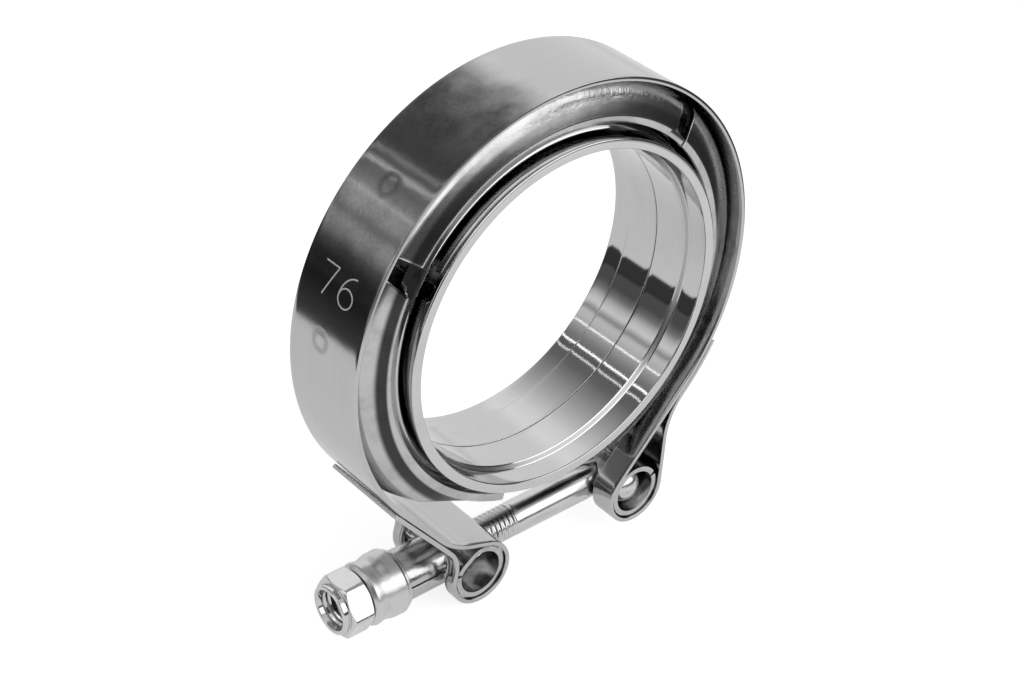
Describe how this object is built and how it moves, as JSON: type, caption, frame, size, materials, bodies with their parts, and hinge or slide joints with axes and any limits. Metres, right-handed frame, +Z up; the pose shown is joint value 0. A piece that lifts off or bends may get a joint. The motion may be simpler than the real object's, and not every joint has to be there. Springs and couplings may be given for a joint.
{
  "type": "v-band clamp",
  "caption": "V-band clamp closed round a pair of tube flanges: folded strap band, channel retainers, T-bolt, thrust collar and lock nut.",
  "frame": {"origin": "on the gas bore's axis, half way across the band, where the two flanges meet", "axes": "+Y along the bore from the front flange to the rear flange, +Z up from the bolt toward the top of the ring, +X toward the cross bar of the bolt"},
  "size_m": [0.1048, 0.0291, 0.122],
  "materials": {
    "band_steel": "polished strip",
    "retainer_steel": "rolled sheet",
    "flange_steel": "turned",
    "trunnion_steel": "polished",
    "bolt_steel": "bright",
    "plated_steel": "bright plated"
  },
  "bodies": {
    "clamp": {"band": "band_steel", "retainer_top": "retainer_steel", "retainer_left": "retainer_steel", "retainer_right": "retainer_steel", "barrel_trunnion": "trunnion_steel", "t_bolt_sleeve": "trunnion_steel", "t_bolt": "bolt_steel"},
    "collar": {"thrust_collar": "plated_steel"},
    "nut": {"lock_nut": "plated_steel"},
    "front_flange": {"front_flange": "flange_steel"},
    "rear_flange": {"rear_flange": "flange_steel"}
  },
  "joints": [
    {"name": "collar_slide", "type": "slide", "parent": "clamp", "child": "collar", "axis": [-0.9982, 0, -0.0595], "range_m": [0, 0.007]},
    {"name": "nut_spin", "type": "hinge", "parent": "collar", "child": "nut", "pos_m": [-0.04381, 0, -0.06251], "axis": [-0.9982, 0, -0.0595], "range_deg": [0, 2016]},
    {"name": "front_flange_turn", "type": "hinge", "parent": "clamp", "child": "front_flange", "pos_m": [0, 0, 0], "axis": [0, 1, 0], "continuous": true},
    {"name": "rear_flange_turn", "type": "hinge", "parent": "clamp", "child": "rear_flange", "pos_m": [0, 0, 0], "axis": [0, 1, 0], "continuous": true}
  ],
  "couplings": [
    {"joint": "collar_slide", "follows": "nut_spin", "m_per_rad": 0.00019894}
  ]
}
